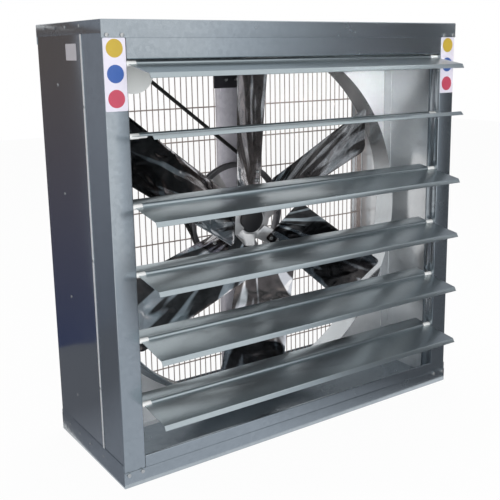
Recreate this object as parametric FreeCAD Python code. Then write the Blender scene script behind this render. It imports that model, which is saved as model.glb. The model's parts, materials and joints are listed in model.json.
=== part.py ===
"""Box-type axial exhaust fan with a shutter of six loose vanes.

Millimetres. Origin at the middle of the casing's base, +Z up, +X to the right and the shutter facing -Y.
Each function makes one piece, or a group of like fasteners, and the last section writes them out.
"""
import FreeCAD, Part
import os
from math import cos, radians, sin, sqrt, tan

from FreeCAD import Placement, Rotation, Vector

# Casing: galvanised sheet folded into trays, side panels and front posts
width = 1100.0
height = 1100.0
depth = 400.0
sheet = 1.5
front_flange = 40.0
rear_flange = 49.0
top_lip = 30.0
bottom_lip = 60.0
post_face = 58.0
post_side = 120.0
post_return = 35.0
hem_width = 8.0
panel_tongue = 25.0
rail_height = 86.0
sill_height = 71.0
rail_lip = 6.0
rail_flange = 30.0
joint_gap = 0.3
stiffener_flange = 36.0
stiffener_web = 15.0
stiffener_back = 125.0
stiffener_end = 70.0

# Orifice round the impeller
orifice_gap = 12.0
collar_depth = 82.0
collar_bend = 10.0
collar_foot = 22.0
orifice_flange = 20.0
corner_side = 320.0
corner_drop = 250.0

# Shutter: vanes on plastic pivots
vane_pitch = 161.8
top_vane_drop = 95.5
vane_setback = 17.0
vane_front = 108.0
vane_rear = 49.0
vane_sheet = 1.5
vane_lip = 12.0
vane_lip_bend = 50.0
vane_end_gap = 8.0
bead_radius = 7.0
notch_length = 20.0
notch_half = 9.0
bush_radius = 6.5
journal_radius = 4.0
journal_reach = 6.0
spigot_length = 20.0
running_clearance = 0.08
slip_clearance = 0.1
vane_angles = (10.0, -6.0, 9.7, 8.5, 9.3, 7.8)

# Rear guard: wires on a flat frame
guard_frame_width = 16.0
guard_frame_thick = 3.0
guard_edge_gap = 4.0
cross_wire_radius = 2.0
guard_wire_radius = 1.5
guard_wire_pitch = 18.3
cross_wire_pitch = 96.0
cross_wire_first = 102.0

# Column that carries the impeller's bearings
column_width = 68.0
column_wall = 3.0
column_depth = 28.0
column_back_gap = 1.0
column_top_gap = 98.0
bracket_wall = 4.0
hanger_width = 110.0
hanger_drop = 174.0
foot_width = 90.0
foot_height = 120.0
bracket_leg = 44.0
bearing_radius = 26.0
bearing_width = 11.0
bearing_wall = 4.5
flange_radius = 52.0
flange_thick = 4.0
shaft_radius = 15.0

# Belt drive
belt_width = 13.0
belt_thick = 8.0
belt_clearance = 0.4
pulley_cheek = 4.0
pulley_lip = 2.0
pulley_gap = 3.0
driven_pitch = 152.0
drive_pitch = 38.0
rim_depth = 13.0
spoke_count = 6
spoke_width = 28.0
spoke_thick = 10.0
pulley_hub_radius = 34.0

# Motor in the upper corner
motor_side = 189.0
motor_drop = 119.7
motor_radius = 55.0
motor_length = 84.0
motor_wall = 4.0
shield_wall = 5.0
motor_gap = 6.0
motor_shaft_radius = 9.5
motor_bearing_radius = 20.0
motor_bearing_width = 10.0
boss_wall = 4.0
stator_bore = 33.0
stator_length = 36.0
winding_reach = 7.0
winding_inset = 4.0
air_gap = 0.8
motor_pad_rise = 8.0
motor_pad_half = 32.0
motor_pad_inset = 10.0
base_half = 95.0
base_wall = 4.0
base_flange = 25.0
terminal_depth = 30.0
terminal_width = 50.0
terminal_height = 60.0
terminal_pad = 4.0
gland_radius = 10.0
gland_length = 16.0

# Impeller: swept paddles bolted to the arms of a hub
tip_clearance = 50.0
blade_count = 6
impeller_turn = 0.7
hub_gap = 27.0
hub_radius = 63.0
hub_thick = 22.0
hub_boss_radius = 32.0
hub_boss_length = 44.0
blade_lead = 14.0
arm_start = 40.0
arm_reach = 150.0
arm_width = 48.0
arm_offset = -24.0
arm_thick = 6.0
blade_pitch = 32.5
blade_twist = 4.0
blade_sheet = 2.5
blade_root = 75.0
flat_reach = 160.0
front_root = 122.0
front_tip = 71.0
rear_root = 35.0
rear_tip = 118.0
blade_camber = 11.0
tip_corner = 22.0
root_corner = 12.0
trim_allowance = 8.0
cap_radius = 39.0
cap_length = 9.0

# Fasteners
rivet_radius = 4.5
rivet_height = 1.8
rivet_pitch = 70.0
bolt_radius = 5.5
bolt_height = 4.0
bolt_pitch = 36.0
blade_bolt_radius = 6.0
blade_bolt_height = 5.0
blade_bolt_radii = (88.0, 113.0, 138.0)
seam_rivet_shares = (0.2, 0.494, 0.825)
stiffener_rivet_shares = (0.02, 0.34, 0.66, 0.98)
guard_screw_shares = (0.15, 0.5, 0.85)
foot_bolt_shares = (0.45, 0.8)
bearing_bolt_turns = (-60.0, 60.0, 120.0, 240.0)

# Planes and places that several pieces share
half = width / 2
front = -depth / 2
rear = depth / 2
skin = half - sheet
axis_z = height / 2
tip_radius = min(width, height) / 2 - tip_clearance
opening_half = half - post_face
vane_half = opening_half - vane_end_gap
pivot_y = front + vane_setback
pivot_heights = [height - top_vane_drop - vane_pitch * i for i in range(len(vane_angles))]
guard_back = rear - 2 * sheet
cross_wire_y = guard_back - guard_frame_thick - cross_wire_radius
guard_wire_y = cross_wire_y - cross_wire_radius - guard_wire_radius
column_back = guard_wire_y - guard_wire_radius - column_back_gap
column_front = column_back - column_depth
pulley_width = belt_width + 2 * (belt_clearance + pulley_cheek)
belt_y = column_front - flange_thick - pulley_gap - pulley_width / 2
pulley_front = belt_y - pulley_width / 2
pulley_back = belt_y + pulley_width / 2
hub_back = pulley_front - hub_gap
hub_front = hub_back - hub_boss_length
blade_y = hub_front - blade_lead
stiffener_y = rear - stiffener_back
orifice_radius = tip_radius + orifice_gap
orifice_back = stiffener_y + stiffener_flange / 2 - sheet
orifice_near = orifice_back - sheet
collar_front = orifice_near - collar_depth
motor_back = pulley_front - motor_gap
motor_front = motor_back - motor_length
X_AXIS = Vector(1, 0, 0)
Y_AXIS = Vector(0, 1, 0)
Z_AXIS = Vector(0, 0, 1)
fan_axis = Vector(0, 0, axis_z)
motor_axis = Vector(motor_side - half, 0, height - motor_drop)
rim_inside = driven_pitch + belt_thick / 2 + pulley_lip - rim_depth
pad_top = motor_axis.z + motor_radius + motor_pad_rise


def block(x0, x1, y0, y1, z0, z1):
    """Box between two corners."""
    return Part.makeBox(x1 - x0, y1 - y0, z1 - z0, Vector(x0, y0, z0))


def joined(*shapes):
    """One solid from pieces that share faces."""
    return shapes[0].multiFuse(list(shapes[1:])).removeSplitter()


def group(shapes):
    """Separate solids that share a node."""
    return Part.makeCompound(shapes)


def mirrored(shape):
    """The piece of the other side of the casing."""
    return shape.mirror(Vector(0, 0, 0), X_AXIS)


def rod(radius, start, end):
    """Round bar from one point to another."""
    along = end - start
    return Part.makeCylinder(radius, along.Length, start, along)


def disc(radius, y0, y1, axis=fan_axis):
    """Round plate or bar along Y between two planes."""
    return rod(radius, axis + Y_AXIS * y0, axis + Y_AXIS * y1)


def ring(outer, inner, y0, y1, axis=fan_axis):
    """Ring along Y between two planes."""
    return disc(outer, y0, y1, axis).cut(disc(inner, y0, y1, axis))


def head(radius, rise, base, out):
    """Low button head that stands on a face at base and points along out."""
    return Part.makeCone(radius, radius * 0.6, rise, base, out)


def hex_head(radius, rise, base, out):
    """Hexagonal bolt head that stands on a face at base."""
    corners = [Vector(radius * cos(radians(60 * i)), radius * sin(radians(60 * i)), 0) for i in range(7)]
    prism = Part.Face(Part.makePolygon(corners)).extrude(Vector(0, 0, rise))
    prism.Placement = Placement(base, Rotation(Z_AXIS, out))
    return prism


# Casing
def tray(lip):
    """Flat sheet with a flange turned down at the front and rear and a lip at each side, for the top."""
    plate = block(-half, half, front, rear, height - sheet, height)
    front_turn = block(-half, half, front, front + sheet, height - front_flange, height - sheet)
    rear_turn = block(-half, half, rear - sheet, rear, height - rear_flange, height - sheet)
    side_turn = block(skin, half, front + sheet, rear - sheet, height - lip, height - sheet)
    return joined(plate, front_turn, rear_turn, side_turn, mirrored(side_turn))


def top_panel():
    return tray(top_lip)


def bottom_panel():
    """The same tray turned over, with a taller lip."""
    return tray(bottom_lip).mirror(Vector(0, 0, height / 2), Z_AXIS)


def right_post():
    """Folded channel at the front corner, with a hem at its rear edge and holes for the vane pivots."""
    low = sheet
    high = height - sheet
    face = block(opening_half, skin, front + sheet, front + 2 * sheet, low, high)
    side = block(skin - sheet, skin, front + 2 * sheet, front + post_side, low, high)
    inner = block(opening_half, opening_half + sheet, front + 2 * sheet, front + sheet + post_return,
                  low, high)
    hem = block(skin, half, front + post_side - hem_width, front + post_side, bottom_lip, height - top_lip)
    post = joined(face, side, inner, hem)
    reach = X_AXIS * (3 * sheet)
    for z in pivot_heights:
        start = Vector(opening_half - sheet, pivot_y, z)
        post = post.cut(rod(journal_radius + running_clearance, start, start + reach))
    return post


def right_side_panel():
    """Side sheet with a joggled tongue behind the post and a flange at the rear."""
    low = sheet
    high = height - sheet
    seam = front + post_side
    plate = block(skin - sheet, skin, seam, rear - sheet, low, high)
    tongue = block(skin - 2 * sheet, skin - sheet, seam - panel_tongue, seam + sheet, low, high)
    turn = block(half - rear_flange, skin - sheet, guard_back, rear - sheet, low, high)
    return joined(plate, tongue, turn)


def front_rail(low, high, lip_low, flange_low):
    """Folded strip that closes the shutter opening between the posts."""
    ends = opening_half - joint_gap
    face = block(-ends, ends, front + sheet, front + 2 * sheet, low, high)
    lip = block(-ends, ends, front + 2 * sheet, front + sheet + rail_lip, lip_low, lip_low + sheet)
    flange = block(-ends, ends, front + 2 * sheet, front + sheet + rail_flange,
                   flange_low, flange_low + sheet)
    return joined(face, lip, flange)


def top_rail():
    low = height - rail_height
    return front_rail(low, height - sheet, low, height - 2 * sheet)


def bottom_sill():
    return front_rail(sheet, sill_height, sill_height - sheet, sheet)


def right_stiffener():
    """Angle riveted inside the side panel."""
    low = bottom_lip + stiffener_end
    high = height - low
    wall = skin - sheet
    near = stiffener_y - stiffener_flange / 2
    far = stiffener_y + stiffener_flange / 2
    flange = block(wall - sheet, wall, near, far, low, high)
    web = block(wall - stiffener_web, wall - sheet, far - sheet, far, low, high)
    return joined(flange, web)


def motor_corner():
    """Room that the orifice leaves free for the motor and its belt."""
    return block(-half, corner_side - half, collar_front - 1, orifice_back + 1, height - corner_drop, height)


def orifice_panel():
    """Sheet with a round hole in front of the stiffeners' webs, flanged on to the top and bottom panels."""
    side = skin - 2 * sheet
    low = sheet
    high = height - sheet
    plate = block(-side, side, orifice_near, orifice_back, low, high)
    hole = disc(orifice_radius + collar_bend, orifice_near - 1, orifice_back + 1)
    near = orifice_near - orifice_flange
    foot = block(-side, side, near, orifice_near, low, low + sheet)
    top = block(-side, side, near, orifice_near, high - sheet, high)
    return joined(plate.cut(hole), foot, top).cut(motor_corner())


def orifice_collar():
    """Sheet rolled to a short tube round the blade tips, with a foot turned out on to the orifice panel."""
    inner = orifice_radius
    bend = inner + collar_bend
    turn = orifice_near - collar_bend
    slant = sqrt(0.5)

    def at(radius, y):
        return Vector(radius, y, axis_z)

    def round_at(size):
        return at(bend - size * slant, turn + size * slant)

    small = collar_bend - sheet
    edges = [
        Part.makeLine(at(inner, collar_front), at(inner, turn)),
        Part.Arc(at(inner, turn), round_at(collar_bend), at(bend, orifice_near)).toShape(),
        Part.makeLine(at(bend, orifice_near), at(inner + collar_foot, orifice_near)),
        Part.makeLine(at(inner + collar_foot, orifice_near), at(inner + collar_foot, orifice_near - sheet)),
        Part.makeLine(at(inner + collar_foot, orifice_near - sheet), at(bend, orifice_near - sheet)),
        Part.Arc(at(bend, orifice_near - sheet), round_at(small), at(inner + sheet, turn)).toShape(),
        Part.makeLine(at(inner + sheet, turn), at(inner + sheet, collar_front)),
        Part.makeLine(at(inner + sheet, collar_front), at(inner, collar_front)),
    ]
    tube = Part.Face(Part.Wire(edges)).revolve(fan_axis, Y_AXIS, 360)
    return tube.cut(motor_corner())


def casing_rivets():
    """Heads along the seams and over the stiffeners, the same on both sides."""
    low_row = bottom_lip * 0.6
    high_row = height - top_lip * 0.4
    seam = front + post_side - hem_width / 2
    span = height - 2 * (bottom_lip + stiffener_end)
    lip_rows = [front + post_side, stiffener_y - rivet_pitch, stiffener_y, stiffener_y + rivet_pitch]
    spots = [Vector(half, y, low_row) for y in lip_rows]
    spots += [Vector(half, y, high_row) for y in lip_rows]
    spots += [Vector(half, seam, height * part) for part in seam_rivet_shares]
    low = bottom_lip + stiffener_end
    spots += [Vector(skin, stiffener_y, low + span * part) for part in stiffener_rivet_shares]
    heads = [head(rivet_radius, rivet_height, spot, X_AXIS) for spot in spots]
    return group(heads + [mirrored(item) for item in heads])


def frame_bolts():
    """Two bolts at each front corner, through the flange and the post."""
    outer = half - 2.2 * bolt_radius
    inner = opening_half + 1.8 * bolt_radius
    rows = (front_flange * 0.85, height - front_flange * 0.85)
    heads = []
    for x in (-outer, -inner, inner, outer):
        for z in rows:
            heads.append(hex_head(bolt_radius, bolt_height, Vector(x, front, z), -Y_AXIS))
    return group(heads)


# Shutter
def vane_profile():
    """Section of a vane: flat rear part, half-round bead on the pivot axis, flat front part and a bent lip.

    The first coordinate runs forward from the pivot axis and the second upward.
    """
    t = vane_sheet / 2
    inner = bead_radius - vane_sheet
    out_x = sqrt(bead_radius ** 2 - t ** 2)
    in_x = sqrt(inner ** 2 - t ** 2)
    bend = radians(vane_lip_bend)
    mitre = t * tan(bend / 2)
    tip_u = vane_front + vane_lip * cos(bend)
    tip_v = -vane_lip * sin(bend)

    def at(u, v):
        return Vector(0, -u, v)

    upper_tip = at(tip_u + t * sin(bend), tip_v + t * cos(bend))
    lower_tip = at(tip_u - t * sin(bend), tip_v - t * cos(bend))
    edges = [
        Part.makeLine(at(-vane_rear, t), at(-out_x, t)),
        Part.Arc(at(-out_x, t), at(0, bead_radius), at(out_x, t)).toShape(),
        Part.makeLine(at(out_x, t), at(vane_front + mitre, t)),
        Part.makeLine(at(vane_front + mitre, t), upper_tip),
        Part.makeLine(upper_tip, lower_tip),
        Part.makeLine(lower_tip, at(vane_front - mitre, -t)),
        Part.makeLine(at(vane_front - mitre, -t), at(in_x, -t)),
        Part.Arc(at(in_x, -t), at(0, inner), at(-in_x, -t)).toShape(),
        Part.makeLine(at(-in_x, -t), at(-vane_rear, -t)),
        Part.makeLine(at(-vane_rear, -t), at(-vane_rear, t)),
    ]
    return Part.Face(Part.Wire(edges))


def on_pivot(shape, index):
    """Turns a vane piece to its rest angle and takes it to its place in the shutter."""
    shape = shape.copy()
    turn = Rotation(X_AXIS, vane_angles[index])
    shape.Placement = Placement(Vector(0, pivot_y, pivot_heights[index]), turn).multiply(shape.Placement)
    return shape


def louver(index):
    """Vane of folded sheet, notched at both ends of its bead for the pivots."""
    vane = vane_profile()
    vane.translate(Vector(-vane_half, 0, 0))
    vane = vane.extrude(Vector(2 * vane_half, 0, 0))
    notch = block(vane_half - notch_length, vane_half + 1, -notch_half, notch_half,
                  -bead_radius - 1, bead_radius + 1)
    return on_pivot(vane.cut(notch).cut(mirrored(notch)), index)


def louver_pivots(index):
    """The two plastic pivots of a vane: spigot in the bead, round body and journal in the post."""
    inner = bead_radius - vane_sheet - slip_clearance
    shoulder = vane_half - notch_length
    body_end = opening_half - joint_gap
    spigot = rod(inner, Vector(shoulder - spigot_length, 0, 0), Vector(shoulder, 0, 0))
    body = rod(bush_radius, Vector(shoulder, 0, 0), Vector(body_end, 0, 0))
    journal_end = opening_half + sheet + journal_reach
    journal = rod(journal_radius, Vector(body_end, 0, 0), Vector(journal_end, 0, 0))
    pivot = joined(spigot, body, journal)
    return on_pivot(group([pivot, mirrored(pivot)]), index)


# Rear guard
def guard_frame():
    """Flat frame inside the rear flanges."""
    outer = skin - sheet - guard_edge_gap
    low = sheet + guard_edge_gap
    high = height - low
    wide = guard_frame_width
    near = guard_back - guard_frame_thick
    plate = block(-outer, outer, near, guard_back, low, high)
    window = block(wide - outer, outer - wide, near - 1, guard_back + 1, low + wide, high - wide)
    return plate.cut(window)


def guard_wires():
    """Upright wires in front of a few cross wires, welded where they meet."""
    reach = skin - sheet - guard_edge_gap - guard_frame_width * 0.4
    low = sheet + guard_edge_gap + guard_frame_width * 0.4
    high = height - low
    wires = []
    count = int((reach - guard_frame_width) // guard_wire_pitch)
    for i in range(-count, count + 1):
        x = i * guard_wire_pitch
        wires.append(rod(guard_wire_radius, Vector(x, guard_wire_y, low), Vector(x, guard_wire_y, high)))
    z = cross_wire_first
    while z < high - cross_wire_radius:
        wires.append(rod(cross_wire_radius, Vector(-reach, cross_wire_y, z), Vector(reach, cross_wire_y, z)))
        z += cross_wire_pitch
    return group(wires)


def guard_screws():
    """Heads through the rear flanges of the side panels into the guard's frame."""
    x = half - rear_flange / 2
    heads = []
    for side in (-x, x):
        for share in guard_screw_shares:
            heads.append(head(rivet_radius, rivet_height, Vector(side, rear - sheet, height * share), Y_AXIS))
    return group(heads)


# Column and brackets
def support_column():
    """Channel that stands on the bottom panel, open to the rear, with a hole for the bearing housing."""
    side = column_width / 2
    low = sheet
    high = height - column_top_gap
    outer = block(-side, side, column_front, column_back, low, high)
    inner = block(column_wall - side, side - column_wall, column_front + column_wall, column_back + 1,
                  low - 1, high + 1)
    hole = disc(bearing_radius + bearing_wall + slip_clearance, column_front - 1, column_back)
    return outer.cut(inner).cut(hole)


def column_bracket(wide, low, high, leg_low):
    """Angle with one leg on the column's front and one leg on a panel."""
    side = wide / 2
    near = column_front - bracket_wall
    upright = block(-side, side, near, column_front, low, high)
    leg = block(-side, side, column_front - bracket_leg, near, leg_low, leg_low + bracket_wall)
    return joined(upright, leg)


def column_hanger():
    top = height - sheet
    return column_bracket(hanger_width, top - hanger_drop, top, top - bracket_wall)


def column_foot():
    return column_bracket(foot_width, sheet, sheet + foot_height, sheet)


def column_bolts():
    """Hexagon heads that hold both brackets and the bearing housing to the column."""
    face = column_front - bracket_wall
    x = column_width / 4
    top = height - column_top_gap
    rows = [sheet + foot_height * share for share in foot_bolt_shares]
    rows += [top - bolt_pitch / 2, top - bolt_pitch * 1.5]
    heads = []
    for z in rows:
        for side in (-x, x):
            heads.append(hex_head(bolt_radius, bolt_height, Vector(side, face, z), -Y_AXIS))
    leg_y = column_front - bracket_leg / 2
    for side in (-hanger_width / 4, hanger_width / 4):
        heads.append(hex_head(bolt_radius, bolt_height, Vector(side, leg_y, height), Z_AXIS))
        heads.append(hex_head(bolt_radius, bolt_height, Vector(side, leg_y, sheet + bracket_wall), Z_AXIS))
    circle = flange_radius - 2 * bolt_radius
    for turn in bearing_bolt_turns:
        offset = Vector(cos(radians(turn)), 0, sin(radians(turn))) * circle
        spot = fan_axis + offset + Y_AXIS * (column_front + column_wall)
        heads.append(hex_head(bolt_radius, bolt_height, spot, Y_AXIS))
    return group(heads)


def bearing_housing():
    """Cartridge through the column, with a flange on the column's front."""
    flange = disc(flange_radius, column_front - flange_thick, column_front)
    barrel = disc(bearing_radius + bearing_wall, column_front, column_back)
    bore = disc(bearing_radius, column_front - flange_thick - 1, column_back + 1)
    return joined(flange, barrel).cut(bore)


def bearing(y0):
    return ring(bearing_radius, shaft_radius + running_clearance, y0, y0 + bearing_width)


def fan_bearings():
    """Both bearings of the impeller's shaft."""
    return group([bearing(column_front - flange_thick), bearing(column_back - bearing_width)])


def fan_shaft():
    return disc(shaft_radius, hub_front, column_back)


# Belt drive
def pulley(pitch, axis):
    """Rim with a square-cut groove for the belt."""
    outer = pitch + belt_thick / 2 + pulley_lip
    floor = pitch - belt_thick / 2 - belt_clearance
    groove_half = belt_width / 2 + belt_clearance
    groove = ring(outer + 1, floor, belt_y - groove_half, belt_y + groove_half, axis)
    return disc(outer, pulley_front, pulley_back, axis).cut(groove)


def pulley_rim():
    """Grooved rim of the large pulley behind the impeller."""
    return pulley(driven_pitch, fan_axis).cut(disc(rim_inside, pulley_front - 1, pulley_back + 1))


def pulley_spider():
    """Boss and spokes that carry the large pulley's rim on the impeller's shaft."""
    near = belt_y - spoke_thick / 2
    far = belt_y + spoke_thick / 2
    boss = disc(pulley_hub_radius, hub_back, pulley_back)
    spokes = []
    for i in range(spoke_count):
        spoke = block(0, rim_inside, near, far, axis_z - spoke_width / 2, axis_z + spoke_width / 2)
        spoke.rotate(fan_axis, Y_AXIS, 360.0 / spoke_count * i)
        spokes.append(spoke)
    seat = disc(rim_inside - slip_clearance, hub_back, pulley_back)
    bore = disc(shaft_radius + slip_clearance, hub_back - 1, pulley_back + 1)
    return joined(boss, *spokes).common(seat).cut(bore)


def motor_pulley():
    """Small solid pulley on the motor's shaft."""
    bore = disc(motor_shaft_radius + slip_clearance, pulley_front - 1, pulley_back + 1, motor_axis)
    return pulley(drive_pitch, motor_axis).cut(bore)


def belt_outline(offset):
    """Plate with the outline of a band round both pulleys, at a distance from the pitch line."""
    near = belt_y - belt_width / 2
    far = belt_y + belt_width / 2
    along = motor_axis - fan_axis
    lean = (driven_pitch - drive_pitch) / along.Length
    along.normalize()
    square = along.cross(Y_AXIS) * sqrt(1 - lean ** 2)
    over = along * lean + square
    under = along * lean - square
    large = driven_pitch + offset
    small = drive_pitch + offset
    corners = [fan_axis + over * large, motor_axis + over * small,
               motor_axis + under * small, fan_axis + under * large]
    points = [corner + Y_AXIS * near for corner in corners + corners[:1]]
    strip = Part.Face(Part.makePolygon(points)).extrude(Y_AXIS * belt_width)
    return joined(disc(large, near, far), disc(small, near, far, motor_axis), strip)


def drive_belt():
    return belt_outline(belt_thick / 2).cut(belt_outline(-belt_thick / 2))


# Motor
def motor_housing():
    """Cast bowl, closed at the front, with pads for the base above and the terminal box at the side."""
    floor = motor_front + shield_wall
    rim = ring(motor_radius, motor_radius - motor_wall, floor, motor_back - shield_wall, motor_axis)
    front_wall = disc(motor_radius, motor_front, floor, motor_axis)
    boss = ring(motor_bearing_radius + boss_wall, motor_bearing_radius, floor, floor + motor_bearing_width,
                motor_axis)
    near = motor_front + motor_pad_inset
    far = motor_back - motor_pad_inset
    top_pad = block(motor_axis.x - motor_pad_half, motor_axis.x + motor_pad_half, near, far,
                    motor_axis.z, pad_top)
    side_pad = block(motor_axis.x - motor_radius - terminal_pad, motor_axis.x, near, far,
                     motor_axis.z - terminal_height / 2, motor_axis.z + terminal_height / 2)
    hollow = disc(motor_radius - motor_wall, floor, motor_back - shield_wall, motor_axis)
    return joined(rim, front_wall, boss, top_pad.cut(hollow), side_pad.cut(hollow))


def motor_cover():
    """Shield at the pulley's end, with the bearing's boss inside."""
    inner = motor_back - shield_wall
    shield = ring(motor_radius, motor_bearing_radius, inner, motor_back, motor_axis)
    boss = ring(motor_bearing_radius + boss_wall, motor_bearing_radius, motor_back - motor_bearing_width,
                inner, motor_axis)
    return joined(shield, boss)


def motor_bearing(y0):
    bore = motor_shaft_radius + running_clearance
    return ring(motor_bearing_radius, bore, y0, y0 + motor_bearing_width, motor_axis)


def motor_bearings():
    """Both bearings of the motor's shaft."""
    return group([motor_bearing(motor_front + shield_wall), motor_bearing(motor_back - motor_bearing_width)])


def core_ends():
    """Planes between which the stator and the rotor lie."""
    middle = (motor_front + motor_back) / 2
    return middle - stator_length / 2, middle + stator_length / 2


def stator_core():
    """Laminated ring pressed into the housing."""
    near, far = core_ends()
    return ring(motor_radius - motor_wall - slip_clearance, stator_bore, near, far, motor_axis)


def stator_winding():
    """End turns that stand out of both faces of the core."""
    near, far = core_ends()
    outer = motor_radius - motor_wall - winding_inset
    inner = stator_bore + winding_inset
    return group([ring(outer, inner, near - winding_reach, near, motor_axis),
                  ring(outer, inner, far, far + winding_reach, motor_axis)])


def motor_shaft():
    return disc(motor_shaft_radius, motor_front + shield_wall + joint_gap, pulley_back, motor_axis)


def rotor_core():
    near, far = core_ends()
    return ring(stator_bore - air_gap, motor_shaft_radius + slip_clearance, near, far, motor_axis)


def motor_base():
    """Saddle that hangs the motor from the top panel."""
    left = motor_axis.x - base_half
    right = motor_axis.x + base_half
    near = motor_front + motor_pad_inset
    far = motor_back - motor_pad_inset
    top = height - sheet
    plate = block(left, right, near, far, pad_top, pad_top + base_wall)
    left_leg = block(left, left + base_wall, near, far, pad_top + base_wall, top)
    right_leg = block(right - base_wall, right, near, far, pad_top + base_wall, top)
    left_flange = block(left - base_flange, left, near, far, top - base_wall, top)
    right_flange = block(right, right + base_flange, near, far, top - base_wall, top)
    return joined(plate, left_leg, right_leg, left_flange, right_flange)


def motor_bolts():
    """Heads under the base's flanges, on its plate and round the shield at the pulley's end."""
    heads = []
    middle = (motor_front + motor_back) / 2
    for side in (-1, 1):
        for y in (middle - bolt_pitch / 2, middle + bolt_pitch / 2):
            under = Vector(motor_axis.x + side * (base_half + base_flange / 2), y, height - sheet - base_wall)
            heads.append(hex_head(bolt_radius, bolt_height, under, -Z_AXIS))
            above = Vector(motor_axis.x + side * motor_pad_half / 2, y, pad_top + base_wall)
            heads.append(hex_head(bolt_radius, bolt_height, above, Z_AXIS))
    circle = motor_radius - 1.5 * bolt_radius
    for i in range(4):
        turn = radians(90 * i + 45)
        spot = motor_axis + Vector(circle * cos(turn), motor_back, circle * sin(turn))
        heads.append(hex_head(bolt_radius, bolt_height, spot, Y_AXIS))
    return group(heads)


def terminal_box():
    """Box on the motor's outer side."""
    middle = (motor_front + motor_back) / 2
    right = motor_axis.x - motor_radius - terminal_pad
    return block(right - terminal_depth, right, middle - terminal_width / 2, middle + terminal_width / 2,
                 motor_axis.z - terminal_height / 2, motor_axis.z + terminal_height / 2)


def terminal_gland():
    """Inlet for the supply lead, under the terminal box: a hexagon and a round nut."""
    x = motor_axis.x - motor_radius - terminal_pad - terminal_depth / 2
    base = Vector(x, (motor_front + motor_back) / 2, motor_axis.z - terminal_height / 2)
    foot = hex_head(gland_radius, gland_length * 0.4, base, -Z_AXIS)
    nut = rod(gland_radius * 0.85, base - Z_AXIS * (gland_length * 0.4), base - Z_AXIS * gland_length)
    return joined(foot, nut)


# Impeller
def blade_place(turn):
    """Blade frame: X outward, Y along the chord towards the shutter, Z out of the blade's front face."""
    pitched = Rotation(X_AXIS, 90 + blade_pitch)
    return Placement(Vector(0, blade_y, axis_z), Rotation(Y_AXIS, -turn).multiply(pitched))


def blade_turns():
    return [90.0 + impeller_turn - 360.0 / blade_count * i for i in range(blade_count)]


def hub():
    """Cast disc with a boss behind it and one flat arm for each blade."""
    plate = disc(hub_radius, hub_front, hub_front + hub_thick)
    boss = disc(hub_boss_radius, hub_front, hub_back)
    arms = []
    for turn in blade_turns():
        arm = block(arm_start, arm_reach, arm_offset - arm_width / 2, arm_offset + arm_width / 2,
                    -arm_thick / 2, arm_thick / 2)
        arm.Placement = blade_place(turn)
        arms.append(arm)
    bore = disc(shaft_radius + slip_clearance, hub_front - 1, hub_back + 1)
    return joined(plate, boss, *arms).cut(bore)


def hub_cap():
    """Washer and cap that close the front of the boss."""
    washer = rod(cap_radius, Vector(0, hub_front - cap_length / 2, axis_z), Vector(0, hub_front, axis_z))
    nose = Part.makeCone(cap_radius, cap_radius * 0.7, cap_length / 2,
                         Vector(0, hub_front - cap_length / 2, axis_z), -Y_AXIS)
    return joined(washer, nose)


def between(root_value, tip_value, radius):
    """Value at a distance from the axis, on a straight line from the blade's root to its tip."""
    return root_value + (tip_value - root_value) * (radius - blade_root) / (tip_radius - blade_root)


def blade_section(radius, camber, twist):
    """Closed wire of a blade's thin section at a distance from the axis, in the blade's frame, cut wide."""
    rear_end = -between(rear_root, rear_tip, radius) - trim_allowance
    front_end = between(front_root, front_tip, radius) + trim_allowance
    middle = (rear_end + front_end) / 2
    low = arm_thick / 2
    curves = []
    for lift in (low, low + blade_sheet):
        curve = Part.BezierCurve()
        curve.setPoles([Vector(radius, rear_end, lift), Vector(radius, middle, lift - 2 * camber),
                        Vector(radius, front_end, lift)])
        curves.append(curve.toShape())
    lower, upper = curves
    ends = [Part.makeLine(lower.Vertexes[i].Point, upper.Vertexes[i].Point) for i in (0, 1)]
    wire = Part.Wire(Part.__sortEdges__([lower, ends[1], upper, ends[0]]))
    wire.rotate(Vector(0, 0, 0), X_AXIS, -twist)
    return wire


def blade_outline():
    """Prism of the blade's outline in its frame: straight edges and a tip on the impeller's circle."""
    def tip(chord):
        return Vector(sqrt(tip_radius ** 2 - (chord * cos(radians(blade_pitch))) ** 2), chord, -depth / 2)

    rear_corner = Vector(blade_root, -rear_root, -depth / 2)
    front_corner = Vector(blade_root, front_root, -depth / 2)
    edges = [Part.makeLine(front_corner, rear_corner), Part.makeLine(rear_corner, tip(-rear_tip)),
             Part.Arc(tip(-rear_tip), tip(0), tip(front_tip)).toShape(),
             Part.makeLine(tip(front_tip), front_corner)]
    prism = Part.Face(Part.Wire(edges)).extrude(Vector(0, 0, depth))
    upright = [edge for edge in prism.Edges if abs(edge.tangentAt(edge.FirstParameter).z) > 0.9]
    prism = prism.makeFillet(tip_corner, [edge for edge in upright if edge.Vertexes[0].X > tip_radius / 2])
    inner = [edge for edge in prism.Edges if abs(edge.tangentAt(edge.FirstParameter).z) > 0.9
             and edge.Vertexes[0].X < tip_radius / 2]
    return prism.makeFillet(root_corner, inner)


def blade_at_right():
    """Pressed-sheet blade that points along +X: flat root on its arm, then a cambered and twisted paddle."""
    root = Part.makeLoft([blade_section(blade_root - trim_allowance, 0, 0), blade_section(flat_reach, 0, 0)],
                         True, True)
    span = tip_radius + trim_allowance * 2 - flat_reach
    shares = (0.0, 0.3, 0.65, 1.0)
    wires = [blade_section(flat_reach + span * part, blade_camber * min(1.0, part * 2), blade_twist * part)
             for part in shares]
    blade = joined(root, Part.makeLoft(wires, True, False)).common(blade_outline())
    blade.Placement = blade_place(0.0)
    return blade


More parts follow.
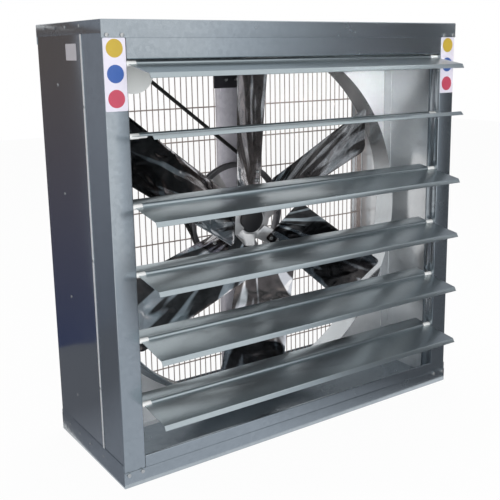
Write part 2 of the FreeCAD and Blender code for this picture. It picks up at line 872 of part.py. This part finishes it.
def blade_bolts():
    """Three bolt heads on the flat root of each blade."""
    heads = []
    for turn in blade_turns():
        for radius in blade_bolt_radii:
            base = Vector(radius, arm_offset, arm_thick / 2 + blade_sheet)
            bolt = hex_head(blade_bolt_radius, blade_bolt_height, base, Z_AXIS)
            bolt.Placement = blade_place(turn).multiply(bolt.Placement)
            heads.append(bolt)
    return group(heads)


def write(name, shape):
    """Writes one node, after a test that it is sound."""
    if not shape.isValid() or any(solid.Volume <= 0 for solid in shape.Solids):
        print("unsound piece:", name)
    shape.exportStep("parts/" + name + ".step")


os.makedirs("parts", exist_ok=True)

single_pieces = [
    top_panel, bottom_panel, top_rail, bottom_sill, orifice_panel, orifice_collar, casing_rivets, frame_bolts,
    guard_frame, guard_wires, guard_screws,
    support_column, column_hanger, column_foot, column_bolts, bearing_housing, fan_bearings,
    motor_housing, motor_cover, motor_bearings, stator_core, stator_winding,
    motor_base, motor_bolts, terminal_box, terminal_gland, drive_belt,
    motor_shaft, rotor_core, motor_pulley,
    fan_shaft, pulley_rim, pulley_spider, hub, hub_cap, blade_bolts,
]
for make in single_pieces:
    write(make.__name__, make())

for make in (right_post, right_side_panel, right_stiffener):
    piece = make()
    write(make.__name__, piece)
    write(make.__name__.replace("right", "left"), mirrored(piece))

for number in range(len(vane_angles)):
    write("louver_%d" % (number + 1), louver(number))
    write("louver_%d_pivots" % (number + 1), louver_pivots(number))

first_blade = blade_at_right()
for number, turn in enumerate(blade_turns()):
    blade = first_blade.copy()
    blade.rotate(Vector(0, 0, axis_z), Y_AXIS, -turn)
    write("blade_%d" % (number + 1), blade)
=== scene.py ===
"""Looks of a box-type axial exhaust fan with a shutter of six loose vanes.

Metres, in the frame of the solids: origin at the middle of the base, +Z up, shutter facing -Y.
"""
import json
from math import radians

import bmesh
import bpy
from mathutils import Matrix, Vector

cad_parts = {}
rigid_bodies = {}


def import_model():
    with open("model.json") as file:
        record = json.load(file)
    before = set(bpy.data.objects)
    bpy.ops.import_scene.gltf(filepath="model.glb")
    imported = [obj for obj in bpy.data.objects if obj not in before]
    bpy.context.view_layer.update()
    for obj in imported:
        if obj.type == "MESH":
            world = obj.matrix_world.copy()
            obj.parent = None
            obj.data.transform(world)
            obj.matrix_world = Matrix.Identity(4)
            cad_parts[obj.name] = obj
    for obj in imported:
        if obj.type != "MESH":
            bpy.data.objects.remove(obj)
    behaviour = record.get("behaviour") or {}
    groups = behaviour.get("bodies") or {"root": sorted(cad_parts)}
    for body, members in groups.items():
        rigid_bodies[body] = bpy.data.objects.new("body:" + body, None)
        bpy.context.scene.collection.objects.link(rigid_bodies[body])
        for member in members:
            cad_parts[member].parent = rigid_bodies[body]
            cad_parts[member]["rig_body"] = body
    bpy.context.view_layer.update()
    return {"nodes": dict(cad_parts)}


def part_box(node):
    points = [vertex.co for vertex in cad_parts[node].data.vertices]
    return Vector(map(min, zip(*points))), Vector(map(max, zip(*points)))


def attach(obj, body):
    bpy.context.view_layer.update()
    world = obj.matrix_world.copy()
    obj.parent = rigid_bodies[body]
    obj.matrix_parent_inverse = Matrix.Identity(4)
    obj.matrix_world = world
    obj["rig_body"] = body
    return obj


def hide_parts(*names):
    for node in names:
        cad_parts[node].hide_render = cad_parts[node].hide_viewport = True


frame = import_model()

scene = bpy.context.scene
scene.view_settings.view_transform = "Standard"


# Studio: a paper floor under an even sky, both plain white to the camera and in reflections.
# The sky gives less light than it shows, and the floor keeps a little of its own shading for the shadow.
def colour(code):
    """Linear colour of an sRGB hex code."""
    shares = [int(code[i:i + 2], 16) / 255 for i in (1, 3, 5)]
    return [c / 12.92 if c <= 0.04045 else ((c + 0.055) / 1.055) ** 2.4 for c in shares] + [1.0]


def put(tree, kind, sockets, **settings):
    """Adds a node with its settings. Each socket takes a value, or a link from another node's output.

    A colour Mix has its share at socket 0 and its two colours at 6 and 7, and gives its result at 2.
    """
    node = tree.nodes.new(kind)
    for name, value in settings.items():
        setattr(node, name, value)
    for key, value in sockets.items():
        if isinstance(value, bpy.types.NodeSocket):
            tree.links.new(value, node.inputs[key])
        else:
            node.inputs[key].default_value = value
    return node


def looked_at(tree):
    """1 for what the camera sees, straight, mirrored or through glass, and 0 for what only gives light."""
    path = put(tree, "ShaderNodeLightPath", {})
    mirrored = put(tree, "ShaderNodeMath",
                   {0: path.outputs["Is Camera Ray"], 1: path.outputs["Is Glossy Ray"]}, operation="MAXIMUM")
    through = put(tree, "ShaderNodeMath",
                  {0: mirrored.outputs[0], 1: path.outputs["Is Transmission Ray"]}, operation="MAXIMUM")
    return through.outputs[0]


def blank(name):
    """New material without nodes, and its node tree."""
    material = bpy.data.materials.new(name)
    material.use_nodes = True
    material.node_tree.nodes.clear()
    return material, material.node_tree


sky_light, plain_white = 0.45, 1.0
world = bpy.data.worlds.new("white_sky")
world.use_nodes = True
scene.world = world
sky = world.node_tree
sky.nodes.clear()
fill = put(sky, "ShaderNodeBackground", {"Color": colour("#ffffff"), "Strength": sky_light})
white = put(sky, "ShaderNodeBackground", {"Color": colour("#ffffff"), "Strength": plain_white})
both = put(sky, "ShaderNodeMixShader", {0: looked_at(sky), 1: fill.outputs[0], 2: white.outputs[0]})
put(sky, "ShaderNodeOutputWorld", {"Surface": both.outputs[0]})

floor_width, floor_whiteness = 16, 0.96
bpy.ops.object.select_all(action="DESELECT")
bpy.ops.mesh.primitive_plane_add(size=floor_width)
floor = bpy.context.object
floor.name = "floor"
white_floor, tree = blank("white_floor")
share = put(tree, "ShaderNodeMath", {0: looked_at(tree), 1: floor_whiteness}, operation="MULTIPLY")
paper = put(tree, "ShaderNodeBsdfDiffuse", {"Color": colour("#f2f2f2")})
glow = put(tree, "ShaderNodeEmission", {"Color": colour("#ffffff"), "Strength": plain_white})
both = put(tree, "ShaderNodeMixShader", {0: share.outputs[0], 1: paper.outputs[0], 2: glow.outputs[0]})
put(tree, "ShaderNodeOutputMaterial", {"Surface": both.outputs[0]})
floor.data.materials.append(white_floor)


# Boards round the fan: large sheets with an even light of their own, which only reflections show.
# They give the bare metal something dark to mirror on the left, and tones that fall off towards the right.
def card(name, first, last, axis, start, end, level):
    """Finish of a board, whose colour changes along an axis between two places."""
    material, tree = blank(name)
    place = put(tree, "ShaderNodeTexCoord", {}).outputs["Object"]
    axes = put(tree, "ShaderNodeSeparateXYZ", {"Vector": place})
    share = put(tree, "ShaderNodeMapRange",
                {"Value": axes.outputs[axis], "From Min": start, "From Max": end})
    tone = put(tree, "ShaderNodeMix", {0: share.outputs[0], 6: colour(first), 7: colour(last)},
               data_type="RGBA")
    surface = put(tree, "ShaderNodeEmission", {"Color": tone.outputs[2], "Strength": level})
    put(tree, "ShaderNodeOutputMaterial", {"Surface": surface.outputs[0]})
    return material


left_card = card("left_card", "#262b41", "#453e3c", "Z", start=0.0, end=1.0, level=2.2)
pale_card = card("pale_card", "#73777f", "#7b7d83", "Z", start=0.0, end=1.0, level=1.3)
behind_card = card("behind_card", "#484b53", "#68696e", "Z", start=0.1, end=1.0, level=2.3)
floor_card = card("floor_card", "#6b6d73", "#4e4f54", "Y", start=0.0, end=0.3, level=1.75)
front_card = card("front_card", "#a1a4a9", "#3e4044", "X", start=-0.1, end=0.5, level=1.7)
middle_card = card("middle_card", "#b2b5b9", "#64676b", "X", start=0.85, end=1.75, level=1.9)
right_card = card("right_card", "#64676b", "#2a2c30", "X", start=1.75, end=2.2, level=1.5)
ground_card = card("ground_card", "#2c2b2b", "#2c2b2b", "X", start=0.0, end=1.0, level=1.05)

flat, upright, sideways = (0, 0, 0), (radians(90), 0, 0), (0, radians(90), 0)
half_right, more_right = (radians(90), 0, radians(39.7)), (radians(90), 0, radians(51.5))
on_floor, under_those = 0.003, 0.002
boards = (  # name, middle, turn, the two sides, finish
    ("board_left", (-1.9, 0, 1.0), sideways, (2.0, 1.6), pale_card),
    ("board_behind_left", (-1.405, 0.8, 1.0), upright, (0.99, 2.0), behind_card),
    ("board_behind", (-0.765, 0.8, 1.0), upright, (0.29, 2.0), left_card),
    ("board_on_floor", (-1.226, 0, on_floor), flat, (1.348, 1.6), floor_card),
    ("board_middle", (1.29, -2.44, 1.0), half_right, (1.2, 2.0), middle_card),
    ("board_right", (2.15, -1.55, 1.0), more_right, (1.3, 2.0), right_card),
    ("board_in_front", (1.0, -1.23, on_floor), flat, (3.2, 2.04), front_card),
    ("board_far_right", (2.9, 0.4, 1.25), sideways, (2.5, 2.6), pale_card),
    ("board_right_floor", (1.75, 0.75, under_those), flat, (2.3, 1.9), pale_card),
    ("board_ground", (0.5, 1.5, on_floor), flat, (1.8, 2.2), ground_card))
for name, place, turn, sides, material in boards:
    bpy.ops.mesh.primitive_plane_add(size=1, location=place, rotation=turn)
    board = bpy.context.object
    board.name = name
    board.scale = (*sides, 1)
    bpy.ops.object.transform_apply(location=True, rotation=True, scale=True)
    board.data.materials.append(material)
    board.visible_camera = False
    board.visible_diffuse = False
    board.visible_shadow = False


# Lamps: three large soft ones, and one narrow beam into the upper right corner inside the casing.
# Reflections leave them out: they light paint, plastic and dull zinc, while bare metal mirrors the boards.
fan_middle, inner_corner = Vector((0, 0, 0.55)), Vector((0.35, 0.03, 0.98))
wide, narrow = radians(180), radians(9)
lamps = (  # name, place, width, watts, aim, spread
    ("key", (0.6, -3.6, 1.4), 1.6, 30, fan_middle, wide),
    ("top", (0.6, 0.8, 3.6), 2.0, 40, fan_middle, wide),
    ("front", (-1.6, -3.3, 1.0), 1.2, 66, fan_middle, wide),
    ("beam", (-1.2, -3.4, 1.1), 0.2, 0.5, inner_corner, narrow))
for name, place, width, watts, aim, spread in lamps:
    bpy.ops.object.light_add(type="AREA", location=place)
    lamp = bpy.context.object
    lamp.name = name
    lamp.data.size = width
    lamp.data.energy = watts
    lamp.data.spread = spread
    lamp.visible_glossy = False
    lamp.rotation_euler = (aim - Vector(place)).to_track_quat("-Z", "Y").to_euler()


# Camera: in front of the fan on its left, just below the height of its top, looking a little down.
# Its place, its two directions, its lens and its shift are fitted to the corners of the casing.
right = Vector((0.8185, -0.5744, -0.0126))
forward = Vector((0.5605, 0.8031, -0.2023))
bpy.ops.object.camera_add(location=(-1.2687, -1.8407, 1.0284))
camera = bpy.context.object
camera.rotation_euler = Matrix((right, right.cross(forward), -forward)).transposed().to_euler()
camera.data.lens = 57.83
camera.data.shift_x = -0.0344
camera.data.shift_y = -0.0666
scene.camera = camera


# Casing: a top and a bottom tray, a rail and a sill of hot-dip galvanised steel, folded and riveted together.
# The zinc sets in crystals about 10 mm across that differ a little in tone, and thin sheet isn't quite flat.
# It mirrors what stands round it softly, and its folds and cut edges catch the light.
def zinc_coat(name, light, dark, crystal, smooth, dull, bare):
    """Galvanised steel: crystals of two tones, a matt film where the zinc isn't bare, and slow waves."""
    cloud_width, wave_width = 0.15, 0.25
    material, tree = blank(name)
    place = put(tree, "ShaderNodeTexCoord", {}).outputs["Object"]
    crystals = put(tree, "ShaderNodeTexVoronoi", {"Vector": place, "Scale": 1 / crystal})
    facet = put(tree, "ShaderNodeSeparateColor", {"Color": crystals.outputs["Color"]})
    cloud = put(tree, "ShaderNodeTexNoise", {"Vector": place, "Scale": 1 / cloud_width, "Detail": 4.0})
    shade = put(tree, "ShaderNodeMath", {0: facet.outputs[0], 1: cloud.outputs["Fac"]},
                operation="MULTIPLY")
    tone = put(tree, "ShaderNodeMix", {0: shade.outputs[0], 6: colour(light), 7: colour(dark)},
               data_type="RGBA")
    gloss = put(tree, "ShaderNodeMapRange", {"Value": shade.outputs[0], "To Min": smooth, "To Max": dull})
    wave = put(tree, "ShaderNodeTexNoise", {"Vector": place, "Scale": 1 / wave_width, "Detail": 1.0})
    bump = put(tree, "ShaderNodeBump", {"Height": wave.outputs["Fac"], "Strength": 0.5, "Distance": 0.006})
    shader = put(tree, "ShaderNodeBsdfPrincipled", {
        "Base Color": tone.outputs[2], "Metallic": bare, "Roughness": gloss.outputs[0],
        "Normal": bump.outputs[0]})
    put(tree, "ShaderNodeOutputMaterial", {"Surface": shader.outputs[0]})
    return material


def rounded(name, material, edge=0, steps=0, bend=0):
    """Stands for a solid: a copy with its loose triangles merged, its edges rounded and its folds bent."""
    same_place, same_plane, sharp = 0.00001, radians(0.2), radians(35)
    long_fold, wide_leg, bend_steps = 0.3, 0.004, 4
    solid = frame["nodes"][name]
    piece = bpy.data.objects.new(name + "_finished", solid.data.copy())
    scene.collection.objects.link(piece)
    bpy.ops.object.select_all(action="DESELECT")
    piece.select_set(True)
    bpy.context.view_layer.objects.active = piece
    bpy.ops.object.mode_set(mode="EDIT")
    bpy.ops.mesh.select_all(action="SELECT")
    bpy.ops.mesh.remove_doubles(threshold=same_place)
    bpy.ops.mesh.dissolve_limited(angle_limit=same_plane)
    bpy.ops.object.mode_set(mode="OBJECT")
    if bend:
        form = bmesh.new()
        form.from_mesh(piece.data)
        folds = [line for line in form.edges if line.is_convex and line.calc_length() > long_fold
                 and all(face.calc_area() > wide_leg * line.calc_length() for face in line.link_faces)]
        bmesh.ops.bevel(form, geom=folds, offset=bend, segments=bend_steps, profile=0.5, affect="EDGES")
        form.to_mesh(piece.data)
        form.free()
    if edge:
        bevel = piece.modifiers.new("edge", "BEVEL")
        bevel.width = edge
        bevel.segments = steps
        bevel.limit_method = "ANGLE"
        bevel.angle_limit = sharp
        bpy.ops.object.modifier_apply(modifier=bevel.name)
    bpy.ops.object.shade_smooth_by_angle(angle=sharp)
    piece.data.materials.clear()
    piece.data.materials.append(material)
    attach(piece, solid["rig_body"])
    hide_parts(name)
    return piece


sheet_edge, sheet_bend = 0.0006, 0.0025
galvanised_sheet = zinc_coat("galvanised_sheet", "#aab3ba", "#9ea7ae",
                             crystal=0.010, smooth=0.20, dull=0.32, bare=0.94)
for sheet in ("top_panel", "bottom_panel", "top_rail", "bottom_sill"):
    rounded(sheet, galvanised_sheet, edge=sheet_edge, steps=3, bend=sheet_bend)


# Posts: the same sheet, whose rear edge is folded back on itself over the side panel and riveted through it.
# Its hem shows as a pale line down the side: a painted highlight, a paler zinc on the hem's faces.
hem_rise = 0.0004
hem_painted_highlight = zinc_coat("hem_painted_highlight", "#f4f6f7", "#e8ebed",
                        crystal=0.010, smooth=0.30, dull=0.45, bare=0.25)
for side in ("left_post", "right_post"):
    post = rounded(side, galvanised_sheet, edge=sheet_edge, steps=3, bend=sheet_bend)
    # The hem's faces take the painted highlight.
    post.data.materials.append(hem_painted_highlight)
    outermost = max(abs(corner.x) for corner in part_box(side))
    for face in post.data.polygons:
        if abs(face.center.x) > outermost - hem_rise:
            face.material_index = 1


# Side panels: smooth galvanised sheet under the hems of the posts, with stiffening angles riveted on inside.
# The left one is bright and mirrors dark surroundings; the right one's pale zinc is a painted reflection.
def dress(names, material):
    """Gives solids that stay as they are their finish."""
    for name in names:
        for slot in frame["nodes"][name].material_slots:
            slot.material = material


bright_sheet = zinc_coat("bright_sheet", "#b4bcc2", "#aeb6bc",
                         crystal=0.010, smooth=0.11, dull=0.13, bare=0.96)
wall_painted_reflection = zinc_coat("wall_painted_reflection", "#eef1f3", "#e6eaed",
                       crystal=0.010, smooth=0.20, dull=0.22, bare=0.6)
dress(["left_side_panel", "left_stiffener"], bright_sheet)
# The right panel and its angle take the pale painted reflection.
dress(["right_side_panel", "right_stiffener"], wall_painted_reflection)


# Orifice: a flat panel with a large round hole, and a collar rolled from a strip that stands round the hole.
# The panel's nearly white, half-matt zinc is painted light; the rolled collar is still half bright.
orifice_painted_light = zinc_coat("orifice_painted_light", "#eceff2", "#e5e8eb",
                          crystal=0.012, smooth=0.36, dull=0.38, bare=0.25)
collar_sheet = zinc_coat("collar_sheet", "#d6dbde", "#cfd5d9",
                         crystal=0.010, smooth=0.22, dull=0.24, bare=0.82)
# The panel takes the pale painted light.
dress(["orifice_panel"], orifice_painted_light)
dress(["orifice_collar"], collar_sheet)


# Rivets, screws and bolts: zinc-plated steel heads, pressed or tightened onto the sheet.
# The plating is brighter than the sheet, with rounded edges that catch the light.
zinc_plating = zinc_coat("zinc_plating", "#c3c6c7", "#aaadaf",
                         crystal=0.004, smooth=0.20, dull=0.35, bare=0.82)
for heads in ("casing_rivets", "guard_screws"):
    rounded(heads, zinc_plating, edge=0.0012, steps=3)
for bolts in ("frame_bolts", "column_bolts", "motor_bolts", "blade_bolts"):
    rounded(bolts, zinc_plating, edge=0.0009, steps=2)


# Label strips on the posts and a small plate on the left side: plain vinyl film, cut out and stuck on.
# The strips are white with three round patches printed on them in solid colours; the film ripples slightly.
def plastic(name, code, rough):
    """Smooth plastic: even colour with faint dust and a slight ripple."""
    dust_width, dimmed = 0.02, 0.86
    material, tree = blank(name)
    place = put(tree, "ShaderNodeTexCoord", {}).outputs["Object"]
    dust = put(tree, "ShaderNodeTexNoise", {"Vector": place, "Scale": 1 / dust_width, "Detail": 5.0})
    clean = colour(code)
    dusty = [c * dimmed for c in clean[:3]] + [1.0]
    tone = put(tree, "ShaderNodeMix", {0: dust.outputs["Fac"], 6: clean, 7: dusty}, data_type="RGBA")
    bump = put(tree, "ShaderNodeBump", {"Height": dust.outputs["Fac"], "Strength": 0.15, "Distance": 0.001})
    shader = put(tree, "ShaderNodeBsdfPrincipled", {
        "Base Color": tone.outputs[2], "Roughness": rough, "IOR": 1.53, "Normal": bump.outputs[0]})
    put(tree, "ShaderNodeOutputMaterial", {"Surface": shader.outputs[0]})
    return material


def film(name, place, size, turn, corner, material):
    """Thin film stuck on a face: a plane with its corners rounded, then thickened."""
    corner_steps = 8
    bpy.ops.object.select_all(action="DESELECT")
    bpy.ops.mesh.primitive_plane_add(size=1)
    piece = bpy.context.object
    piece.name = name
    piece.scale = (size[0], size[1], 1)
    bpy.ops.object.transform_apply(location=False, rotation=False, scale=True)
    bpy.ops.object.mode_set(mode="EDIT")
    bpy.ops.mesh.select_all(action="SELECT")
    bpy.ops.mesh.bevel(offset=corner, segments=corner_steps, affect="VERTICES")
    bpy.ops.mesh.extrude_region_move(TRANSFORM_OT_translate={"value": (0, 0, size[2])})
    bpy.ops.mesh.select_all(action="SELECT")
    bpy.ops.mesh.normals_make_consistent(inside=False)
    bpy.ops.object.mode_set(mode="OBJECT")
    piece.rotation_euler = turn
    piece.location = place
    bpy.ops.object.transform_apply(location=True, rotation=True, scale=True)
    piece.data.materials.append(material)
    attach(piece, "casing")
    return piece


strip_x, strip_z, strip_size, strip_corner = 0.5203, 0.981, (0.053, 0.158, 0.0003), 0.003
patch_size, patch_corner = (0.040, 0.040, 0.0001), 0.0199
white_film = plastic("white_film", "#d6d3e0", rough=0.35)
patches = (("yellow", 1.038, plastic("yellow_print", "#b89e36", rough=0.35)),
           ("blue", 0.983, plastic("blue_print", "#365a9f", rough=0.35)),
           ("red", 0.929, plastic("red_print", "#b5445a", rough=0.35)))
to_front, to_left = (radians(90), 0, 0), (0, radians(-90), 0)
post_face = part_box("left_post")[0].y
strip_face = post_face - strip_size[2]
for side, x in (("left", -strip_x), ("right", strip_x)):
    film(side + "_strip", (x, post_face, strip_z), strip_size, to_front, strip_corner, white_film)
    for patch, z, print_colour in patches:
        film(side + "_patch_" + patch, (x, strip_face, z), patch_size, to_front, patch_corner, print_colour)

plate_y, plate_z, plate_size, plate_corner = -0.021, 1.031, (0.038, 0.062, 0.0004), 0.002
grey_film = plastic("grey_film", "#cfccd2", rough=0.4)
side_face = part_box("left_side_panel")[0].x
film("left_plate", (side_face, plate_y, plate_z), plate_size, to_left, plate_corner, grey_film)


# Shutter: six vanes of galvanised sheet with an even satin surface, bent to a bead and a lip.
# Each has two pivots, moulded of white nylon, soft and slightly glossy, that turn in holes in the posts.
vane_sheet = zinc_coat("vane_sheet", "#b0bbc0", "#aab5ba",
                       crystal=0.008, smooth=0.28, dull=0.30, bare=0.92)
white_nylon = plastic("white_nylon", "#eef0ef", rough=0.45)
for number in range(1, 7):
    rounded("louver_%d" % number, vane_sheet, edge=0.0003, steps=2)
    rounded("louver_%d_pivots" % number, white_nylon, edge=0.0008, steps=2)


# Rear guard: drawn steel wire of 3 and 4 mm on a flat frame, welded and zinc plated, screwed to the flanges.
# Thin wire looks pale against the white behind it, and its pale pinkish tone paints in that glare.
wire_painted_glare = zinc_coat("wire_painted_glare", "#cabdb8", "#b4a6a0",
                        crystal=0.006, smooth=0.40, dull=0.55, bare=0.6)
# Frame and wires take the painted glare.
dress(["guard_frame", "guard_wires"], wire_painted_glare)


# Column: a channel of heavier galvanised steel, dulled, bolted to a foot and to a dark hanger at its top.
# The hanger and the bearing housing have brushed-on satin paint with the fine texture that a brush leaves.
def skin(name, code, worn, rough, grain):
    """Paint, moulding or rubber: even colour, cloudy wear and a fine grain, as of orange peel."""
    cloud_width, glossier, duller = 0.06, 0.08, 0.12
    material, tree = blank(name)
    place = put(tree, "ShaderNodeTexCoord", {}).outputs["Object"]
    cloud = put(tree, "ShaderNodeTexNoise", {"Vector": place, "Scale": 1 / cloud_width, "Detail": 5.0})
    tone = put(tree, "ShaderNodeMix", {0: cloud.outputs["Fac"], 6: colour(code), 7: colour(worn)},
               data_type="RGBA")
    peel = put(tree, "ShaderNodeTexNoise", {"Vector": place, "Scale": 1 / grain, "Detail": 2.0})
    bump = put(tree, "ShaderNodeBump", {"Height": peel.outputs["Fac"], "Strength": 0.2, "Distance": 0.0006})
    gloss = put(tree, "ShaderNodeMapRange",
                {"Value": cloud.outputs["Fac"], "To Min": rough - glossier, "To Max": rough + duller})
    shader = put(tree, "ShaderNodeBsdfPrincipled", {
        "Base Color": tone.outputs[2], "Roughness": gloss.outputs[0], "IOR": 1.5,
        "Normal": bump.outputs[0]})
    put(tree, "ShaderNodeOutputMaterial", {"Surface": shader.outputs[0]})
    return material


column_zinc = zinc_coat("column_zinc", "#eceaf3", "#d8d6e1",
                        crystal=0.012, smooth=0.30, dull=0.45, bare=0.1)
dark_paint = skin("dark_paint", "#232327", "#34343a", rough=0.4, grain=0.003)
rounded("support_column", column_zinc, edge=0.0008, steps=2)
rounded("column_foot", column_zinc, edge=0.001, steps=2)
rounded("column_hanger", dark_paint, edge=0.001, steps=2)
rounded("bearing_housing", dark_paint, edge=0.0015, steps=2)


# Bearings and shafts: ground steel, with the bearings pressed into their housings and onto the shafts.
# The steel is bright, with faint rings that turning and grinding leave.
def ringed(name, light, dark, ridge, rough):
    """Turned, wound or stacked metal: fine rings along the axis, coarser than the real 0.2 mm, to show."""
    wave_step, cloud_width = 6.28, 0.02
    material, tree = blank(name)
    place = put(tree, "ShaderNodeTexCoord", {}).outputs["Object"]
    rings = put(tree, "ShaderNodeTexWave",
                {"Vector": place, "Scale": 1 / (wave_step * ridge), "Distortion": 1.5},
                wave_type="BANDS", bands_direction="Y")
    cloud = put(tree, "ShaderNodeTexNoise", {"Vector": place, "Scale": 1 / cloud_width, "Detail": 4.0})
    shade = put(tree, "ShaderNodeMath", {0: rings.outputs["Fac"], 1: cloud.outputs["Fac"]},
                operation="MULTIPLY")
    tone = put(tree, "ShaderNodeMix", {0: shade.outputs[0], 6: colour(light), 7: colour(dark)},
               data_type="RGBA")
    bump = put(tree, "ShaderNodeBump", {"Height": rings.outputs["Fac"], "Strength": 0.2, "Distance": 0.0003})
    shader = put(tree, "ShaderNodeBsdfPrincipled", {
        "Base Color": tone.outputs[2], "Metallic": 1.0, "Roughness": rough, "Normal": bump.outputs[0]})
    put(tree, "ShaderNodeOutputMaterial", {"Surface": shader.outputs[0]})
    return material


ground_steel = ringed("ground_steel", "#c9cacd", "#9fa1a5", ridge=0.001, rough=0.2)
for piece in ("fan_bearings", "motor_bearings", "fan_shaft", "motor_shaft"):
    rounded(piece, ground_steel, edge=0.0008, steps=2)


# Motor: cast housing and shield in white paint, bolted to a folded saddle of the casing's sheet.
# A terminal box at its side has a moulded gland for the lead.
# Inside the housing are varnished laminations and end turns of enamelled copper.
white_paint = skin("white_paint", "#f2f4f3", "#e6e9e7", rough=0.38, grain=0.004)
black_moulding = skin("black_moulding", "#1b1b1d", "#2a2a2c", rough=0.5, grain=0.002)
varnished_core = ringed("varnished_core", "#5c5c60", "#36363a", ridge=0.002, rough=0.45)
enamelled_copper = ringed("enamelled_copper", "#b8703c", "#7f4522", ridge=0.0015, rough=0.3)
dress(["motor_base"], galvanised_sheet)
rounded("motor_housing", white_paint, edge=0.002, steps=3)
rounded("motor_cover", white_paint, edge=0.0015, steps=3)
rounded("terminal_box", white_paint, edge=0.003, steps=3)
rounded("terminal_gland", black_moulding, edge=0.001, steps=2)
for core in ("stator_core", "rotor_core"):
    rounded(core, varnished_core)
rounded("stator_winding", enamelled_copper, edge=0.002, steps=3)


# Belt drive: a rubber belt round a small pulley on the motor and a large spoked one behind the impeller.
# The pulleys and the hub are cast aluminium, left as cast with machined faces; the belt is matt and dusty.
# The rim of the large pulley is cast aluminium of a darker tone than the spider.
def cast(name, light, dark, rough):
    """Cast aluminium: grain from the mould about 2 mm across and soft patches from handling."""
    grain_width, patch_width = 0.002, 0.04
    material, tree = blank(name)
    place = put(tree, "ShaderNodeTexCoord", {}).outputs["Object"]
    grain = put(tree, "ShaderNodeTexNoise", {"Vector": place, "Scale": 1 / grain_width, "Detail": 3.0})
    patch = put(tree, "ShaderNodeTexNoise", {"Vector": place, "Scale": 1 / patch_width, "Detail": 4.0})
    tone = put(tree, "ShaderNodeMix", {0: patch.outputs["Fac"], 6: colour(light), 7: colour(dark)},
               data_type="RGBA")
    bump = put(tree, "ShaderNodeBump", {"Height": grain.outputs["Fac"], "Strength": 0.25, "Distance": 0.0005})
    shader = put(tree, "ShaderNodeBsdfPrincipled", {
        "Base Color": tone.outputs[2], "Metallic": 0.75, "Roughness": rough, "Normal": bump.outputs[0]})
    put(tree, "ShaderNodeOutputMaterial", {"Surface": shader.outputs[0]})
    return material


cast_aluminium = cast("cast_aluminium", "#f0f0f0", "#d0d0d2", rough=0.30)
darker_rim = cast("darker_rim", "#8f8f92", "#626266", rough=0.40)
belt_rubber = skin("belt_rubber", "#0e0e0f", "#1b1b1b", rough=0.65, grain=0.003)
rounded("pulley_rim", darker_rim, edge=0.0012, steps=2)
rounded("pulley_spider", cast_aluminium, edge=0.002, steps=2)
rounded("motor_pulley", cast_aluminium, edge=0.001, steps=2)
rounded("drive_belt", belt_rubber, edge=0.0012, steps=2)


# Impeller: six blades of pressed sheet with a mirror finish, bolted to the arms of the hub.
# Near black and hard bright streaks are painted reflections, bent by the slow waves that the press leaves.
def painted_reflection_sheet(name, light, middling, dark, axle):
    """Polished sheet with painted reflections: near black, bright streaks out from the axle, slow waves."""
    streaks_round, streaks_out = 5.5, 3.0
    smear_width, wave_width = 0.03, 0.06
    material, tree = blank(name)
    place = put(tree, "ShaderNodeTexCoord", {}).outputs["Object"]
    axes = put(tree, "ShaderNodeSeparateXYZ", {"Vector": place})
    up = put(tree, "ShaderNodeMath", {0: axes.outputs["Z"], 1: axle}, operation="SUBTRACT")
    turn = put(tree, "ShaderNodeMath", {0: up.outputs[0], 1: axes.outputs["X"]}, operation="ARCTAN2")
    across = put(tree, "ShaderNodeMath", {0: turn.outputs[0], 1: streaks_round}, operation="MULTIPLY")
    spoke = put(tree, "ShaderNodeCombineXYZ", {"X": axes.outputs["X"], "Y": up.outputs[0]})
    reach = put(tree, "ShaderNodeVectorMath", {0: spoke.outputs[0]}, operation="LENGTH")
    along = put(tree, "ShaderNodeMath", {0: reach.outputs["Value"], 1: streaks_out}, operation="MULTIPLY")
    drawn = put(tree, "ShaderNodeCombineXYZ", {"X": along.outputs[0], "Y": across.outputs[0]})
    painted_streaks = put(tree, "ShaderNodeTexNoise", {"Vector": drawn.outputs[0], "Scale": 1.2, "Detail": 2.0})
    smear = put(tree, "ShaderNodeTexNoise", {"Vector": place, "Scale": 1 / smear_width, "Detail": 5.0})
    plain = put(tree, "ShaderNodeMix", {0: smear.outputs["Fac"], 6: colour(dark), 7: colour(middling)},
                data_type="RGBA")
    # Painted reflections: the dark base turns bright where the streak noise runs high.
    bright = put(tree, "ShaderNodeMapRange",
                 {"Value": painted_streaks.outputs["Fac"], "From Min": 0.51, "From Max": 0.56})
    tone = put(tree, "ShaderNodeMix", {0: bright.outputs[0], 6: plain.outputs[2], 7: colour(light)},
               data_type="RGBA")
    wave = put(tree, "ShaderNodeTexNoise",
               {"Vector": place, "Scale": 1 / wave_width, "Detail": 1.0, "Distortion": 0.6})
    bump = put(tree, "ShaderNodeBump", {"Height": wave.outputs["Fac"], "Strength": 0.6, "Distance": 0.01})
    gloss = put(tree, "ShaderNodeMapRange", {"Value": smear.outputs["Fac"], "To Min": 0.08, "To Max": 0.22})
    shader = put(tree, "ShaderNodeBsdfPrincipled", {
        "Base Color": tone.outputs[2], "Metallic": 1.0, "Roughness": gloss.outputs[0],
        "Normal": bump.outputs[0]})
    put(tree, "ShaderNodeOutputMaterial", {"Surface": shader.outputs[0]})
    return material


axle_height = sum(corner.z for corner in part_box("fan_shaft")) / 2
blade_mirror = painted_reflection_sheet("blade_mirror", "#f4f4f6", "#7c7675", "#2f2c2b", axle_height)
cap_paint = skin("cap_paint", "#121213", "#202022", rough=0.3, grain=0.003)
rounded("hub", cast_aluminium, edge=0.002, steps=2)
rounded("hub_cap", cap_paint, edge=0.0025, steps=3)
for number in range(1, 7):
    rounded("blade_%d" % number, blade_mirror, edge=0.0006, steps=2)
